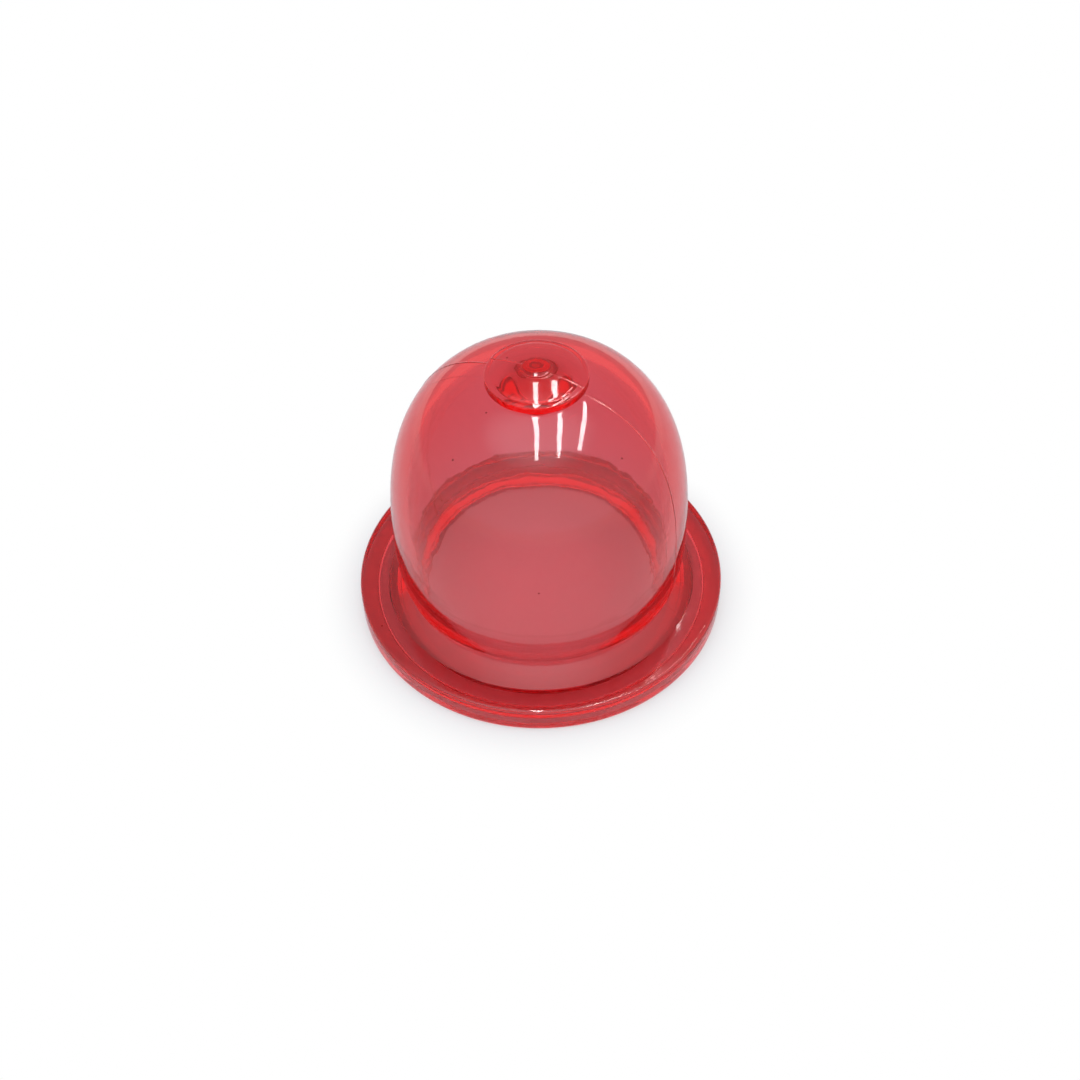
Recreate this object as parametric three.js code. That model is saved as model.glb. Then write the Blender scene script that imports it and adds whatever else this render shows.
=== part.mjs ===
// A primer bulb for a small engine's carburettor: a clear red dome that is pressed with the thumb,
// moulded in one piece with the flange that a retainer clamps to the pump body.
// Millimetres, +Z up. The origin is the centre of the flange's flat underside.

import * as THREE from "three";

// Neck, the narrow foot of the dome, and the short cone that joins it to the flange
const neckDiameter = 16.6;
const coneWidth = 1.15;
const coneHeight = 0.7;

// Flange
const flangeThickness = 1.6;
const flangeRimWidth = 1.65;
const flangeEdgeRadius = 0.25;

// Dome
const domeBulge = 0.4;
const widestHeight = 5.1;
const domeHeight = 16.9;
const domeFullness = 2.8;
const waistFullness = 2.0;
const wallThickness = 1.0;

// Mouth, where the inside narrows to a nose and then opens out to the underside
const noseWidth = 0.13;
const noseHeight = 1.25;
const mouthFlareWidth = 1.2;

// Sealing groove in the flange's underside. The land is the flat ring between it and the mouth.
const landWidth = 0.53;
const grooveWidth = 1.15;
const grooveDepth = 0.4;
const grooveCornerRadius = 0.12;

// Thumb pad and moulding nub on the crown. The pad's top is slightly domed.
const padDiameter = 5.65;
const padRise = 0.23;
const padEdgeRadius = 0.08;
const padCrownRise = 0.3;
const padCrownFullness = 2.4;
const nubDiameter = 1.66;
const nubRise = 0.14;

// Flat ceiling inside the crown, and the short boss with sloping sides that hangs from it
const ceilingDiameter = 5.0;
const bossRootDiameter = 4.1;
const bossTipDiameter = 1.3;
const bossLength = 0.9;

// Steps that the round surfaces are cut into
const stepsAround = 64;
const domeSteps = 12;
const waistSteps = 4;
const bossSteps = 5;
const padSteps = 4;
const edgeSteps = 2;

const quarterTurn = Math.PI / 2;
const neckRadius = neckDiameter / 2;
const coneRadius = neckRadius + coneWidth;
const flangeRadius = coneRadius + flangeRimWidth;
const domeRadius = neckRadius + domeBulge;
const neckHeight = flangeThickness + coneHeight;
const noseRadius = neckRadius - wallThickness - noseWidth;
const mouthRadius = noseRadius + mouthFlareWidth;
const grooveInnerRadius = mouthRadius + landWidth;

// The outline is drawn in the plane of radius (x) and height (y).
function point(radius, height) {
  return new THREE.Vector2(radius, height);
}

// Points of an arc of an ellipse, both ends included. Angles start from the outward direction.
function arc(centre, halfWidth, halfHeight, fromAngle, toAngle, steps) {
  const points = [];
  for (let step = 0; step <= steps; step += 1) {
    const angle = fromAngle + ((toAngle - fromAngle) * step) / steps;
    const radius = centre.x + halfWidth * Math.cos(angle);
    points.push(point(radius, centre.y + halfHeight * Math.sin(angle)));
  }
  return points;
}

// Cap of the dome, from its widest circle up to a circle near the crown. A fullness of 2 is an
// ellipse and a larger one is squarer. The inner surface is inset by the wall.
function cap(inset, endRadius) {
  const widest = domeRadius - inset;
  const rise = domeHeight - inset - widestHeight;
  const power = 2 / domeFullness;
  const endAngle = Math.acos((endRadius / widest) ** (1 / power));
  const points = [];
  for (let step = 0; step <= domeSteps; step += 1) {
    const angle = (endAngle * step) / domeSteps;
    const height = widestHeight + rise * Math.sin(angle) ** power;
    points.push(point(widest * Math.cos(angle) ** power, height));
  }
  return points;
}

// Wall below the widest circle, where it draws in towards the neck. The widest circle itself is
// left to the cap.
function waist(inset) {
  const foot = neckRadius - inset;
  const points = [];
  for (let step = 0; step < waistSteps; step += 1) {
    const below = 1 - step / waistSteps;
    const radius = foot + domeBulge * (1 - below ** waistFullness);
    points.push(point(radius, widestHeight - (widestHeight - neckHeight) * below));
  }
  return points;
}

// Boss on the axis, flat at its tip, with a side that leaves the tip and meets the ceiling smoothly
function boss(ceilingHeight) {
  const tip = bossTipDiameter / 2;
  const root = bossRootDiameter / 2;
  const points = [point(0, ceilingHeight - bossLength)];
  for (let step = 0; step <= bossSteps; step += 1) {
    const share = step / bossSteps;
    const drop = (bossLength * (1 + Math.cos(Math.PI * share))) / 2;
    points.push(point(tip + (root - tip) * share, ceilingHeight - drop));
  }
  return points;
}

function innerSurface() {
  const ceilingPoints = cap(wallThickness, ceilingDiameter / 2).reverse();
  const ceilingHeight = ceilingPoints[0].y;
  return [...boss(ceilingHeight), ...ceilingPoints, ...waist(wallThickness).reverse()];
}

// Mouth and groove. The groove has square feet and rounded corners at its roof.
function underside() {
  const corner = grooveCornerRadius;
  const grooveOuterRadius = grooveInnerRadius + grooveWidth;
  const inner = point(grooveInnerRadius + corner, grooveDepth - corner);
  const outer = point(grooveOuterRadius - corner, grooveDepth - corner);
  return [
    point(noseRadius, noseHeight),
    point(mouthRadius, 0),
    point(grooveInnerRadius, 0),
    ...arc(inner, corner, corner, Math.PI, quarterTurn, edgeSteps),
    ...arc(outer, corner, corner, quarterTurn, 0, edgeSteps),
    point(grooveOuterRadius, 0),
  ];
}

function flangeRim() {
  const radius = flangeEdgeRadius;
  const low = point(flangeRadius - radius, radius);
  const high = point(flangeRadius - radius, flangeThickness - radius);
  return [
    ...arc(low, radius, radius, -quarterTurn, 0, edgeSteps),
    ...arc(high, radius, radius, 0, quarterTurn, edgeSteps),
  ];
}

function neckCone() {
  return [point(coneRadius, flangeThickness), point(neckRadius, neckHeight)];
}

// Thumb pad from its edge to the foot of the nub, and the nub
function crown() {
  const padTop = domeHeight + padRise;
  const rim = padDiameter / 2 - padEdgeRadius;
  const nub = nubDiameter / 2;
  const edge = point(rim, padTop - padEdgeRadius);
  const pad = [];
  for (let step = 0; step <= padSteps; step += 1) {
    const radius = rim + ((nub - rim) * step) / padSteps;
    const rise = padCrownRise * (1 - (radius / rim) ** padCrownFullness);
    pad.push(point(radius, padTop + rise));
  }
  const nubTop = pad[padSteps].y + nubRise;
  return [
    ...arc(edge, padEdgeRadius, padEdgeRadius, 0, quarterTurn, edgeSteps),
    ...pad.slice(1),
    point(nub, nubTop),
    point(0, nubTop),
  ];
}

// The section of the bulb, from the axis inside, down and round the foot, and up to the crown.
function bulbOutline() {
  return [
    ...innerSurface(),
    ...underside(),
    ...flangeRim(),
    ...neckCone(),
    ...waist(0).slice(1),
    ...cap(0, padDiameter / 2),
    ...crown(),
  ];
}

function buildBulb() {
  const geometry = new THREE.LatheGeometry(bulbOutline(), stepsAround);
  geometry.rotateX(quarterTurn);
  const clearRed = new THREE.MeshStandardMaterial({
    color: 0xc8505c,
    roughness: 0.12,
    metalness: 0,
  });
  const bulb = new THREE.Mesh(geometry, clearRed);
  bulb.name = "primer_bulb";
  return bulb;
}

const part = new THREE.Group();
part.add(buildBulb());

export default part;
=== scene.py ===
# %% [markdown]
# # A primer bulb in clear red rubber
# The real object is one small moulding, about as wide as a coin: a thin clear dome that a thumb
# presses to draw fuel, with a flange round its foot that a retainer clamps. There is nothing to
# assemble. All of its looks come from one shape and one see-through material, so this lesson is
# about turning a good section and about rubber that takes its colour from depth.

# %% Start from the CAD model
import math

import bmesh
import bpy
from mathutils import Matrix, Vector


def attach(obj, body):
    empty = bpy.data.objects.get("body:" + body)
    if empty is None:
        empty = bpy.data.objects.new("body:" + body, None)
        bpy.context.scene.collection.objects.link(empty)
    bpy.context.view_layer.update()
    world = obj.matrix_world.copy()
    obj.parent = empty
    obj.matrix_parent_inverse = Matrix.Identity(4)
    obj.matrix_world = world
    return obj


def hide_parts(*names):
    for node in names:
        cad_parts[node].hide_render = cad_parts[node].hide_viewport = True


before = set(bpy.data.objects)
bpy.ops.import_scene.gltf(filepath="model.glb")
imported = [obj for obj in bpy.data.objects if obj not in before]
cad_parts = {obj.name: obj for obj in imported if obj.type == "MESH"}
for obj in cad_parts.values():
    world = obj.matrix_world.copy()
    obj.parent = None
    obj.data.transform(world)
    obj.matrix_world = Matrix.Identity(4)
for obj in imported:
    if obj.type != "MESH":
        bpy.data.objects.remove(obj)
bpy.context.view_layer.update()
MM = 0.001

# %% [markdown]
# ## The camera
# The picture looks down on the bulb from a little over half way up. The flange, the pad and the
# mouth are circles on the real thing, and how flat each one looks in the picture gives the height
# of the camera. How much the near circles outgrow the far ones gives its distance. A camera could
# be placed by eye, but a tall dome shows at once when its perspective is wrong.

# %% Camera
CAMERA_LENS = 45
CAMERA_SENSOR_WIDTH = 36
CAMERA_NEAREST = 1 * MM
CAMERA_ELEVATION = math.radians(47.53)
CAMERA_ROLL = math.radians(-1.21)
CAMERA_DISTANCE = 81.65 * MM
AIM = Vector((0, 0, 3.93 * MM))


def aim_camera():
    data = bpy.data.cameras.new("camera")
    data.lens = CAMERA_LENS
    data.sensor_width = CAMERA_SENSOR_WIDTH
    data.clip_start = CAMERA_NEAREST
    camera = bpy.data.objects.new("camera", data)
    bpy.context.collection.objects.link(camera)
    back = Vector((0, -math.cos(CAMERA_ELEVATION), math.sin(CAMERA_ELEVATION)))
    right = Vector((1, 0, 0))
    up = back.cross(right)
    turned_right = right * math.cos(CAMERA_ROLL) + up * math.sin(CAMERA_ROLL)
    turned_up = up * math.cos(CAMERA_ROLL) - right * math.sin(CAMERA_ROLL)
    matrix = Matrix((turned_right, turned_up, back)).transposed().to_4x4()
    matrix.translation = AIM + back * CAMERA_DISTANCE
    camera.matrix_world = matrix
    bpy.context.scene.camera = camera
    return camera


camera = aim_camera()
print("camera at mm:", [round(value / MM, 1) for value in camera.matrix_world.translation])

# %% [markdown]
# ## The section
# A round moulding is drawn as half of its section and then spun about its axis. The section runs
# from the axis under the crown, down the inside of the wall, round the flange, and back up the
# outside. The sizes are the same ones that the CAD model uses, so the fine body fills its box.

# %% Sizes of the bulb, in millimetres
NECK_DIAMETER = 16.6
CONE_WIDTH = 1.15
CONE_HEIGHT = 0.7
FLANGE_THICKNESS = 1.6
FLANGE_RIM_WIDTH = 1.65
FLANGE_EDGE_RADIUS = 0.25
DOME_BULGE = 0.4
WIDEST_HEIGHT = 5.1
DOME_HEIGHT = 16.9
DOME_FULLNESS = 2.8
WAIST_FULLNESS = 2.0
WALL = 1.0

neck_radius = NECK_DIAMETER / 2
cone_radius = neck_radius + CONE_WIDTH
flange_radius = cone_radius + FLANGE_RIM_WIDTH
dome_radius = neck_radius + DOME_BULGE
neck_height = FLANGE_THICKNESS + CONE_HEIGHT
print("flange diameter:", round(2 * flange_radius, 2), "dome diameter:", round(2 * dome_radius, 2))

# %% [markdown]
# ## The curve of the dome
# The dome is a superellipse: fuller than half a ball, but without the flat top and tight corners
# of a can. It could be drawn by hand as a spline. A formula stays smooth however finely it is cut,
# and the inside is the same formula with the wall taken off.

# %% Curves of the section
DOME_STEPS = 56
WAIST_STEPS = 14
EDGE_STEPS = 6


def arc(centre, radius, start, end, steps):
    """Points of an arc of a circle. Angles are in degrees, from the outward direction."""
    points = []
    for step in range(steps + 1):
        angle = math.radians(start + (end - start) * step / steps)
        away = centre[0] + radius * math.cos(angle)
        points.append((away, centre[1] + radius * math.sin(angle)))
    return points


def cap(inset, end_radius):
    """The dome above its widest circle, up to a circle near the crown."""
    widest = dome_radius - inset
    rise = DOME_HEIGHT - inset - WIDEST_HEIGHT
    power = 2 / DOME_FULLNESS
    end_angle = math.acos((end_radius / widest) ** (1 / power))
    points = []
    for step in range(DOME_STEPS + 1):
        angle = end_angle * step / DOME_STEPS
        height = WIDEST_HEIGHT + rise * math.sin(angle) ** power
        points.append((widest * math.cos(angle) ** power, height))
    return points


def waist(inset):
    """The wall below the widest circle, where it draws in towards the neck."""
    foot = neck_radius - inset
    points = []
    for step in range(WAIST_STEPS):
        below = 1 - step / WAIST_STEPS
        radius = foot + DOME_BULGE * (1 - below**WAIST_FULLNESS)
        points.append((radius, WIDEST_HEIGHT - (WIDEST_HEIGHT - neck_height) * below))
    return points


print("points from the neck to the crown:", len(waist(0) + cap(0, 0)))

# %% [markdown]
# ## Inside the crown
# The moulding is thicker under the pad: a flat ceiling with a short boss below it. Looked through
# from above, the light crosses more rubber there, and the middle of the crown turns a deeper red.
# An opaque part could stay plain inside. On a clear one the inside shows, so it is modelled with
# as much care as the outside.

# %% Ceiling and boss
CEILING_DIAMETER = 5.0
BOSS_ROOT_DIAMETER = 4.1
BOSS_TIP_DIAMETER = 1.3
BOSS_LENGTH = 0.9
BOSS_STEPS = 14


def inside():
    ceiling = list(reversed(cap(WALL, CEILING_DIAMETER / 2)))
    ceiling_height = ceiling[0][1]
    tip = BOSS_TIP_DIAMETER / 2
    root = BOSS_ROOT_DIAMETER / 2
    boss = [(0, ceiling_height - BOSS_LENGTH)]
    for step in range(BOSS_STEPS):
        share = step / BOSS_STEPS
        drop = BOSS_LENGTH * (1 + math.cos(math.pi * share)) / 2
        boss.append((tip + (root - tip) * share, ceiling_height - drop))
    boss.append((root, ceiling_height))
    return boss + ceiling + list(reversed(waist(WALL)))


print("tip of the boss at height:", round(inside()[0][1], 2))

# %% [markdown]
# ## Mouth and groove
# The inside ends in a slight nose and then opens out. The flange's underside has a groove that
# presses on the pump body and seals. Through the clear flange the walls of the groove are the two
# dark rings that run round beside the dome. They could be cut out of a disc with booleans. As
# points of the one section they leave no stray face, and a clear body would show each of those.

# %% Underside
NOSE_WIDTH = 0.13
NOSE_HEIGHT = 1.25
MOUTH_FLARE_WIDTH = 1.2
LAND_WIDTH = 0.53
GROOVE_WIDTH = 1.15
GROOVE_DEPTH = 0.4
GROOVE_CORNER_RADIUS = 0.12

nose_radius = neck_radius - WALL - NOSE_WIDTH
mouth_radius = nose_radius + MOUTH_FLARE_WIDTH
groove_start = mouth_radius + LAND_WIDTH
groove_end = groove_start + GROOVE_WIDTH
print("mouth radius:", round(mouth_radius, 2))
print("groove radii:", round(groove_start, 2), "to", round(groove_end, 2))


def underside():
    corner = GROOVE_CORNER_RADIUS
    inner = (groove_start + corner, GROOVE_DEPTH - corner)
    outer = (groove_end - corner, GROOVE_DEPTH - corner)
    points = [(nose_radius, NOSE_HEIGHT), (mouth_radius, 0), (groove_start, 0)]
    points += arc(inner, corner, 180, 90, EDGE_STEPS)
    points += arc(outer, corner, 90, 0, EDGE_STEPS)
    return points + [(groove_end, 0)]


# %% [markdown]
# ## Flange
# The flange is a flat ring with softened edges, and a short cone leads from its top up to the
# neck. A hollow fillet was the other choice for the foot. It catches bright highlights that the
# real foot doesn't have, and a straight cone stays quiet.

# %% Rim of the flange, and the foot of the cone
def flange():
    radius = FLANGE_EDGE_RADIUS
    low = (flange_radius - radius, radius)
    high = (flange_radius - radius, FLANGE_THICKNESS - radius)
    rim = arc(low, radius, -90, 0, EDGE_STEPS) + arc(high, radius, 0, 90, EDGE_STEPS)
    return rim + [(cone_radius, FLANGE_THICKNESS)]


print("cone from radius", round(cone_radius, 2), "to", round(neck_radius, 2), "over", CONE_HEIGHT)

# %% [markdown]
# ## Thumb pad and nub
# The thumb presses on a thin round pad with a slightly domed top. In its middle stands a small nub
# that the mould leaves, and near its rim runs a ring as fine as a hair. Pad and nub could be discs
# laid on the dome. They are one piece with it, so they are drawn in the same section, and the
# light passes from one into the other without a surface between them.

# %% Crown
PAD_DIAMETER = 5.65
PAD_RISE = 0.23
PAD_EDGE_RADIUS = 0.08
PAD_EDGE_END = 75
PAD_EDGE_STEPS = 5
PAD_CROWN_RISE = 0.3
PAD_CROWN_FULLNESS = 2.4
PAD_RING_DIAMETER = 5.0
PAD_RING_WIDTH = 0.16
PAD_RING_DEPTH = 0.03
PAD_STEPS = 30
NUB_DIAMETER = 1.66
NUB_RISE = 0.14
NUB_EDGE_RADIUS = 0.05
NUB_EDGE_STEPS = 4


def pad_height(radius, rim):
    """Top of the pad: slightly domed, with a fine ring pressed into it near the rim."""
    dome = PAD_CROWN_RISE * (1 - (radius / rim) ** PAD_CROWN_FULLNESS)
    off_ring = (radius - PAD_RING_DIAMETER / 2) / (PAD_RING_WIDTH / 2)
    return DOME_HEIGHT + PAD_RISE + dome - PAD_RING_DEPTH * math.exp(-off_ring * off_ring)


def crown():
    top = DOME_HEIGHT + PAD_RISE
    nub = NUB_DIAMETER / 2
    edge = PAD_EDGE_RADIUS
    soft = NUB_EDGE_RADIUS
    rim = PAD_DIAMETER / 2 - edge
    pad = arc((rim, top - edge), edge, 0, PAD_EDGE_END, PAD_EDGE_STEPS)
    for step in range(1, PAD_STEPS):
        radius = rim + (nub + soft - rim) * step / PAD_STEPS
        pad.append((radius, pad_height(radius, rim)))
    foot_height = pad_height(nub + soft, rim)
    tip_height = foot_height + NUB_RISE
    foot = arc((nub + soft, foot_height + soft), soft, -90, -180, NUB_EDGE_STEPS)
    tip = arc((nub - soft, tip_height - soft), soft, 0, 90, NUB_EDGE_STEPS)
    return pad + foot + tip + [(0, tip_height)]


print("height over the nub:", round(crown()[-1][1], 2))

# %% The whole section
inside_and_flange = inside() + underside() + flange()
outside_of_dome = waist(0) + cap(0, PAD_DIAMETER / 2) + crown()
section = inside_and_flange + outside_of_dome
print("points in the section:", len(section))

# %% [markdown]
# ## Columns and the parting line
# Blender has a Screw modifier that spins a curve. A few lines of mesh code do the same here and
# leave room for one thing more: the parting line. The mould opens in two halves, and where they
# meet they leave a hair-thin ridge over the dome. The columns of points are packed close together
# along that line, so the ridge is real geometry and catches light like the real one.

# %% Columns round the axis
COLUMNS = 360
SEAM_AZIMUTH = math.radians(-27.5)
SEAM_SPREAD = math.radians(2.2)
SEAM_COLUMNS = 11
CLOSEST_COLUMNS = math.radians(0.01)
ANGLE_DIGITS = 9


def column_angles():
    full_turn = 2 * math.pi
    angles = {round(full_turn * column / COLUMNS, ANGLE_DIGITS) for column in range(COLUMNS)}
    for side in (SEAM_AZIMUTH, SEAM_AZIMUTH + math.pi):
        for step in range(-SEAM_COLUMNS, SEAM_COLUMNS + 1):
            offset = SEAM_SPREAD * (step / SEAM_COLUMNS) * abs(step / SEAM_COLUMNS)
            angles.add(round((side + offset) % full_turn, ANGLE_DIGITS))
    kept = []
    for angle in sorted(angles):
        if not kept or angle - kept[-1] > CLOSEST_COLUMNS:
            kept.append(angle)
    return kept


angles = column_angles()
print("columns:", len(angles), "which is", len(angles) - COLUMNS, "more than a plain spin")

# %% Height of the parting line
SEAM_HALF_WIDTH = 0.07
SEAM_HEIGHT = 0.02
SEAM_END_RADIUS = NUB_DIAMETER / 2 + 2 * NUB_EDGE_RADIUS


def seam_rise(radius, angle):
    """How far the parting line lifts the surface at this place on the outside of the dome."""
    distance = abs(radius * math.sin(angle - SEAM_AZIMUTH))
    if distance > SEAM_HALF_WIDTH or radius < SEAM_END_RADIUS:
        return 0.0
    return SEAM_HEIGHT * math.cos(math.pi / 2 * distance / SEAM_HALF_WIDTH) ** 2


print("parting line: rises", round(seam_rise(dome_radius, SEAM_AZIMUTH), 3), "mm at the widest circle")

# %% [markdown]
# ## Spinning the section
# Each point of the section becomes a ring, and each pair of rings is joined by a band of faces. A
# point on the axis stays a single point, so the bands at the two ends are made of triangles. The
# edges that turn sharply are then marked, because only the rest should be shaded smooth.

# %% Rings
ON_AXIS = 1e-6


def outward(points, index):
    """Direction in the section that points out of the rubber."""
    before = points[max(index - 1, 0)]
    after = points[min(index + 1, len(points) - 1)]
    along = Vector((after[0] - before[0], after[1] - before[1]))
    along.normalize()
    return Vector((along.y, -along.x))


def make_rings(mesh, points, first_seam_point):
    rings = []
    for index, (radius, height) in enumerate(points):
        if radius < ON_AXIS:
            rings.append([mesh.verts.new((0, 0, height * MM))] * len(angles))
            continue
        direction = outward(points, index)
        ring = []
        for angle in angles:
            rise = seam_rise(radius, angle) if index >= first_seam_point else 0.0
            lift = direction * rise
            place = ((radius + lift.x) * MM, (height + lift.y) * MM)
            spot = (place[0] * math.cos(angle), place[0] * math.sin(angle), place[1])
            ring.append(mesh.verts.new(spot))
        rings.append(ring)
    return rings


# %% Spin
SHARP_EDGE = math.radians(28)


def join_rings(mesh, inner, outer):
    for column in range(len(angles)):
        following = (column + 1) % len(angles)
        corners = [inner[column], inner[following], outer[following], outer[column]]
        face = list(dict.fromkeys(corners))
        if len(face) > 2:
            mesh.faces.new(face).smooth = True


def spin(name, points, first_seam_point):
    mesh = bmesh.new()
    rings = make_rings(mesh, points, first_seam_point)
    for inner, outer in zip(rings, rings[1:]):
        join_rings(mesh, inner, outer)
    bmesh.ops.recalc_face_normals(mesh, faces=mesh.faces)
    for edge in mesh.edges:
        edge.smooth = edge.calc_face_angle(0) < SHARP_EDGE
    data = bpy.data.meshes.new(name)
    mesh.to_mesh(data)
    mesh.free()
    piece = bpy.data.objects.new(name, data)
    bpy.context.collection.objects.link(piece)
    return piece


bulb = spin("primer_bulb_rubber", section, len(inside_and_flange))
triangles = sum(len(face.vertices) - 2 for face in bulb.data.polygons)
print("bulb:", triangles, "triangles")

# %% [markdown]
# ## Helpers for shaders
# The rubber, the table and the room all join values with small nodes. Two helpers make those nodes
# and keep the rest short: one works on two values, and one turns a range of values into another.

# %% Helpers
def combine(tree, operation, first, second):
    node = tree.nodes.new("ShaderNodeMath")
    node.operation = operation
    tree.links.new(first, node.inputs[0])
    tree.links.new(second, node.inputs[1])
    return node.outputs[0]


def ramp(tree, value, limits, results=(0, 1), interpolation="LINEAR"):
    """The first result up to the first limit, the second beyond the second, and a ramp between."""
    node = tree.nodes.new("ShaderNodeMapRange")
    node.interpolation_type = interpolation
    node.inputs["From Min"].default_value = limits[0]
    node.inputs["From Max"].default_value = limits[1]
    node.inputs["To Min"].default_value = results[0]
    node.inputs["To Max"].default_value = results[1]
    tree.links.new(value, node.inputs["Value"])
    return node.outputs[0]


# %% [markdown]
# ## Clear red rubber
# Thin places look pale pink and thick places look deep red, so the colour can't be painted on. It
# comes from the depth of rubber that the light crosses: a volume absorption node takes green and
# blue out of the light on the way through. Depth alone leaves the thin walls too pale, so the
# clear surface has a weak stain too, which each crossing adds once.

# %% Colour of the rubber
RUBBER_IOR = 1.5
SURFACE_STAIN = (0.94, 0.84, 1.0)
ABSORPTION_PER_METRE = 1080.0
ABSORPTION_COLOUR = (0.985, 0.17, 0.13)

for name, share in zip(("red", "green", "blue"), ABSORPTION_COLOUR):
    left = math.exp(-ABSORPTION_PER_METRE * (1 - share) * WALL * MM)
    print("share of", name, "left behind one wall:", round(left, 2))

# %% [markdown]
# ## Marks on the rubber
# A moulded surface is never quite smooth. It has a soft ripple with a finer grain in it, patches
# that are a little hazy, and a few specks of dirt. Without them the reflections would be as
# straight as on glass. A painted picture could hold these marks. Noise needs no picture, is as
# fine close up as far away, and comes out the same each time. The marks are masks in a group of
# their own, so that another clear part can use them.

# %% Ripple, haze and specks
RIPPLE_SIZE = 1.6 * MM
RIPPLE_HEIGHT = 0.014 * MM
RIPPLE_DETAIL = 1
GRAIN_SIZE = 0.35 * MM
GRAIN_SHARE = 0.12
HAZE_SIZE = 5 * MM
HAZE_DETAIL = 4
HAZE_LIMITS = (0.4, 0.7)
SPECK_SPACING = 2.4 * MM
SPECK_RADIUS = 0.08 * MM
SPECK_CORE = 0.5


def noise(tree, place, size, detail):
    texture = tree.nodes.new("ShaderNodeTexNoise")
    texture.inputs["Scale"].default_value = 1 / size
    texture.inputs["Detail"].default_value = detail
    tree.links.new(place, texture.inputs["Vector"])
    return texture.outputs[0]


def rubber_marks():
    group = bpy.data.node_groups.new("rubber_marks", "ShaderNodeTree")
    for name in ("Ripple", "Haze", "Speck"):
        group.interface.new_socket(name, in_out="OUTPUT", socket_type="NodeSocketFloat")
    place = group.nodes.new("ShaderNodeTexCoord").outputs["Object"]
    result = group.nodes.new("NodeGroupOutput")

    ripple = group.nodes.new("ShaderNodeMath")
    ripple.operation = "MULTIPLY_ADD"
    ripple.inputs[1].default_value = GRAIN_SHARE
    group.links.new(noise(group, place, GRAIN_SIZE, RIPPLE_DETAIL), ripple.inputs[0])
    group.links.new(noise(group, place, RIPPLE_SIZE, RIPPLE_DETAIL), ripple.inputs[2])
    group.links.new(ripple.outputs[0], result.inputs["Ripple"])

    haze = ramp(group, noise(group, place, HAZE_SIZE, HAZE_DETAIL), HAZE_LIMITS)
    group.links.new(haze, result.inputs["Haze"])

    cells = group.nodes.new("ShaderNodeTexVoronoi")
    cells.inputs["Scale"].default_value = 1 / SPECK_SPACING
    group.links.new(place, cells.inputs["Vector"])
    edge = SPECK_RADIUS / SPECK_SPACING
    speck = ramp(group, cells.outputs["Distance"], (edge, SPECK_CORE * edge))
    group.links.new(speck, result.inputs["Speck"])
    return group


marks_group = rubber_marks()
print("nodes in the marks:", len(marks_group.nodes))

# %% [markdown]
# ## The material
# One Principled shader with full transmission is the surface, and the absorption node is the
# inside. The ripple bends the surface through a bump node, because it is far too shallow to be
# worth faces of its own. The haze only changes how rough the surface is, and stays slight: a
# rougher surface would blur the bars of light on the dome.

# %% Rubber material
CLEAR_ROUGHNESS = 0.02
HAZY_ROUGHNESS = 0.07
SPECK_COLOUR = (0.10, 0.02, 0.02)


def clear_red_rubber():
    material = bpy.data.materials.new("clear_red_rubber")
    material.use_nodes = True
    tree = material.node_tree
    shader = tree.nodes["Principled BSDF"]
    shader.inputs["IOR"].default_value = RUBBER_IOR
    shader.inputs["Transmission Weight"].default_value = 1
    marks = tree.nodes.new("ShaderNodeGroup")
    marks.node_tree = marks_group

    stain = tree.nodes.new("ShaderNodeMix")
    stain.data_type = "RGBA"
    stain.inputs["A"].default_value = (*SURFACE_STAIN, 1)
    stain.inputs["B"].default_value = (*SPECK_COLOUR, 1)
    tree.links.new(marks.outputs["Speck"], stain.inputs["Factor"])
    tree.links.new(stain.outputs["Result"], shader.inputs["Base Color"])

    roughness = ramp(tree, marks.outputs["Haze"], (0, 1), (CLEAR_ROUGHNESS, HAZY_ROUGHNESS))
    tree.links.new(roughness, shader.inputs["Roughness"])

    bump = tree.nodes.new("ShaderNodeBump")
    bump.inputs["Distance"].default_value = RIPPLE_HEIGHT
    tree.links.new(marks.outputs["Ripple"], bump.inputs["Height"])
    tree.links.new(bump.outputs["Normal"], shader.inputs["Normal"])

    depth = tree.nodes.new("ShaderNodeVolumeAbsorption")
    depth.inputs["Color"].default_value = (*ABSORPTION_COLOUR, 1)
    depth.inputs["Density"].default_value = ABSORPTION_PER_METRE
    tree.links.new(depth.outputs["Volume"], tree.nodes["Material Output"].inputs["Volume"])
    return material


bulb.data.materials.append(clear_red_rubber())
print("nodes in the rubber:", len(bulb.data.materials[0].node_tree.nodes))

# %% [markdown]
# ## Joining the frame
# The CAD model has one node for the bulb. The fine body rides on the same body as that node and
# takes its place in the picture, and its one slot lets the rubber be changed as a whole.

# %% Join the bulb to the frame
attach(bulb, "root")
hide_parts("primer_bulb")

# %% [markdown]
# ## The table
# A white table does two jobs. Round the bulb it is plain white. Under the bulb it is what the eye
# sees through the rubber, so there it has to be a real surface that light reaches and that the
# bulb shades.

# %% Table top
TABLE_SIZE = 1.2
TABLE_GAP = 0.01 * MM


def table_top():
    mesh = bpy.data.meshes.new("table")
    half = TABLE_SIZE / 2
    corners = [(-half, -half, 0), (half, -half, 0), (half, half, 0), (-half, half, 0)]
    mesh.from_pydata(corners, [], [(0, 1, 2, 3)])
    top = bpy.data.objects.new("table", mesh)
    top.location.z = -TABLE_GAP
    bpy.context.collection.objects.link(top)
    return top


table = table_top()
print("table:", TABLE_SIZE, "m wide,", TABLE_GAP / MM, "mm below the flange")
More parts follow.
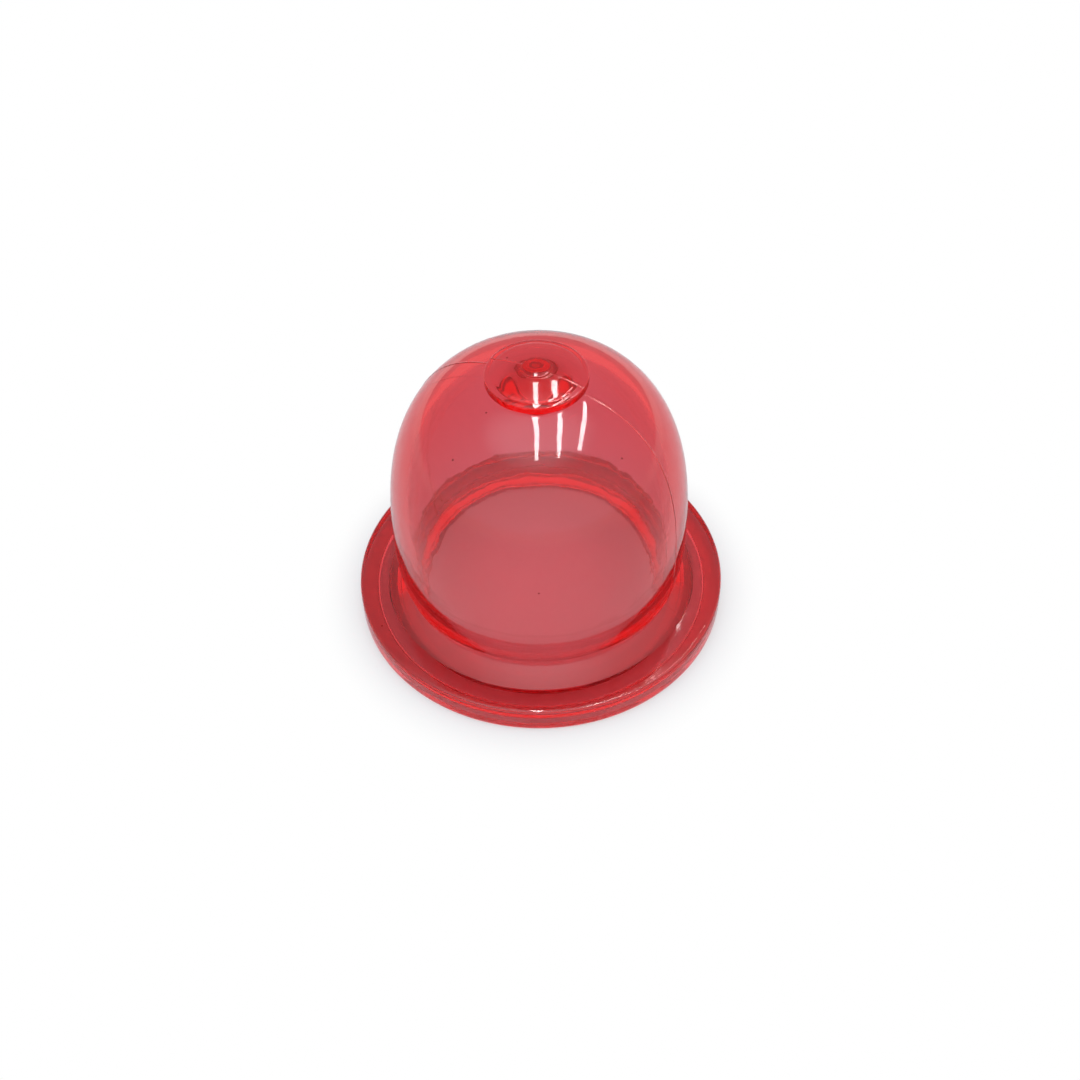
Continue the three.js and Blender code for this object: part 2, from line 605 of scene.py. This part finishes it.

# %% [markdown]
# ## White where it should be
# A real surface all over would leave a grey page, and a glowing one would shine up into the
# rubber. So the table is real near the bulb and turns to plain white further out: soon for the
# camera, and much later for light that has met the rubber. Just inside the mouth the table also
# glows with a small share of white, seen only by light in the rubber: this is painted light that
# lifts the bulb's own shade, which is too dark there.

# %% Table material
TABLE_WHITE = (0.72, 0.715, 0.70)
TABLE_ROUGHNESS = 0.9
WHITE_FOR_CAMERA = (8.5 * MM, 14 * MM)
WHITE_IN_RUBBER = (60 * MM, 110 * MM)
# Painted light: inside the mouth the table glows this share of white for light in the rubber, lifting
# the bulb's shade.
PAINTED_LIGHT_IN_MOUTH = (8.6 * MM, 8.1 * MM)
PAINTED_LIGHT_IN_MOUTH_SHARE = 0.12


def white_share(tree, distance):
    """How much of the table is plain white at this distance and for this kind of ray, with a little
    painted light under the mouth.
    """
    ray = tree.nodes.new("ShaderNodeLightPath").outputs

    def white(kind, limits, most=1.0):
        by_distance = ramp(tree, distance, limits, (0, most), "SMOOTHSTEP")
        return combine(tree, "MULTIPLY", by_distance, kind)

    direct = white(ray["Is Camera Ray"], WHITE_FOR_CAMERA)
    met_rubber = combine(tree, "MAXIMUM", ray["Is Glossy Ray"], ray["Is Transmission Ray"])
    through = white(met_rubber, WHITE_IN_RUBBER)
    # Painted light under the mouth, seen only through the rubber, lifting the bulb's own shade there.
    mouth = white(ray["Is Transmission Ray"], PAINTED_LIGHT_IN_MOUTH, PAINTED_LIGHT_IN_MOUTH_SHARE)
    return combine(tree, "MAXIMUM", direct, combine(tree, "MAXIMUM", mouth, through))


def white_table():
    material = bpy.data.materials.new("white_table")
    material.use_nodes = True
    tree = material.node_tree
    shader = tree.nodes["Principled BSDF"]
    shader.inputs["Base Color"].default_value = (*TABLE_WHITE, 1)
    shader.inputs["Roughness"].default_value = TABLE_ROUGHNESS
    shader.inputs["Specular IOR Level"].default_value = 0
    plain_white = tree.nodes.new("ShaderNodeEmission")
    place = tree.nodes.new("ShaderNodeTexCoord")
    distance = tree.nodes.new("ShaderNodeVectorMath")
    distance.operation = "LENGTH"
    tree.links.new(place.outputs["Object"], distance.inputs[0])
    mix = tree.nodes.new("ShaderNodeMixShader")
    tree.links.new(white_share(tree, distance.outputs["Value"]), mix.inputs[0])
    tree.links.new(shader.outputs["BSDF"], mix.inputs[1])
    tree.links.new(plain_white.outputs["Emission"], mix.inputs[2])
    tree.links.new(mix.outputs["Shader"], tree.nodes["Material Output"].inputs["Surface"])
    return material


table.data.materials.append(white_table())
print("table is white for the camera from mm:", [round(end / MM, 1) for end in WHITE_FOR_CAMERA])

# %% [markdown]
# ## The room
# The room is brighter in front than behind, and its ceiling glows, which lays a soft light on the
# crown. A plain white world would be simpler, but then the dome would reflect white from all sides
# and lose its form. White is shown only to the camera and to light that comes through the rubber,
# so the page is clean and the reflections still see the room.

# %% Room
ROOM_FRONT = 1.3
ROOM_BACK = 0.45
ROOM_TURN = (-0.7, 0.7)
ROOM_TINT = (0.93, 0.975, 1.05)
CEILING_GLOW = 1.3
CEILING_LIMITS = (0.8, 0.98)
PAGE_WHITE = (1, 1, 1)


def room():
    world = bpy.data.worlds.new("room")
    bpy.context.scene.world = world
    world.use_nodes = True
    tree = world.node_tree
    coordinates = tree.nodes.new("ShaderNodeTexCoord")
    direction = tree.nodes.new("ShaderNodeSeparateXYZ")
    tree.links.new(coordinates.outputs["Generated"], direction.inputs[0])
    depth = ramp(tree, direction.outputs["Y"], ROOM_TURN, (ROOM_FRONT, ROOM_BACK), "SMOOTHSTEP")
    glow = ramp(tree, direction.outputs["Z"], CEILING_LIMITS, (0, CEILING_GLOW), "SMOOTHSTEP")
    light = tree.nodes["Background"]
    light.inputs["Color"].default_value = (*ROOM_TINT, 1)
    tree.links.new(combine(tree, "ADD", depth, glow), light.inputs["Strength"])
    page = tree.nodes.new("ShaderNodeBackground")
    page.inputs["Color"].default_value = (*PAGE_WHITE, 1)
    ray = tree.nodes.new("ShaderNodeLightPath").outputs
    seen = combine(tree, "MAXIMUM", ray["Is Camera Ray"], ray["Is Transmission Ray"])
    mix = tree.nodes.new("ShaderNodeMixShader")
    tree.links.new(seen, mix.inputs[0])
    tree.links.new(light.outputs[0], mix.inputs[1])
    tree.links.new(page.outputs[0], mix.inputs[2])
    tree.links.new(mix.outputs[0], tree.nodes["World Output"].inputs["Surface"])


room()
print("room: front", ROOM_FRONT, "back", ROOM_BACK, "and on the ceiling", CEILING_GLOW, "more")

# %% [markdown]
# ## Bars of light
# Three narrow bars of light curve down the front of the dome. They are the reflections of long
# lamps overhead. Glowing strips of mesh would do, but a lamp can be hidden from the table and from
# the light in the rubber, so these change nothing but the reflections.

# %% Lamps
LAMP_HEIGHT = 300 * MM
LAMP_RADIANCE = 20.0


def bar(name, near, far, width):
    """A narrow lamp under the ceiling, from the near end to the far end, both (x, y) in mm."""
    reach = Vector((far[0] - near[0], far[1] - near[1]))
    data = bpy.data.lights.new(name, "AREA")
    data.shape = "RECTANGLE"
    data.size = width * MM
    data.size_y = reach.length * MM
    data.energy = LAMP_RADIANCE * math.pi * data.size * data.size_y
    lamp = bpy.data.objects.new(name, data)
    middle = (near[0] + reach.x / 2, near[1] + reach.y / 2)
    lamp.location = (middle[0] * MM, middle[1] * MM, LAMP_HEIGHT)
    lamp.rotation_euler.z = -math.atan2(reach.x, reach.y)
    lamp.visible_diffuse = False
    lamp.visible_transmission = False
    bpy.context.collection.objects.link(lamp)
    print(name, "is", round(reach.length), "mm long")


bar("bar_left", near=(-8, -114), far=(-1, 250), width=11)
bar("bar_middle", near=(71, -105), far=(40, 250), width=13)
bar("bar_right", near=(142, -57), far=(108, 200), width=13)

# %% [markdown]
# ## How long the light goes on
# Inside the thick rubber, light is thrown back from wall to wall many times before it finds a way
# out. With the usual few bounces those places would stay black, so the light may go on for longer.

# %% Bounces of light
MOST_BOUNCES = 24

scene = bpy.context.scene
scene.cycles.max_bounces = MOST_BOUNCES
scene.cycles.glossy_bounces = MOST_BOUNCES
scene.cycles.transmission_bounces = MOST_BOUNCES
scene.view_settings.view_transform = "Standard"
print("bounces of light:", MOST_BOUNCES)
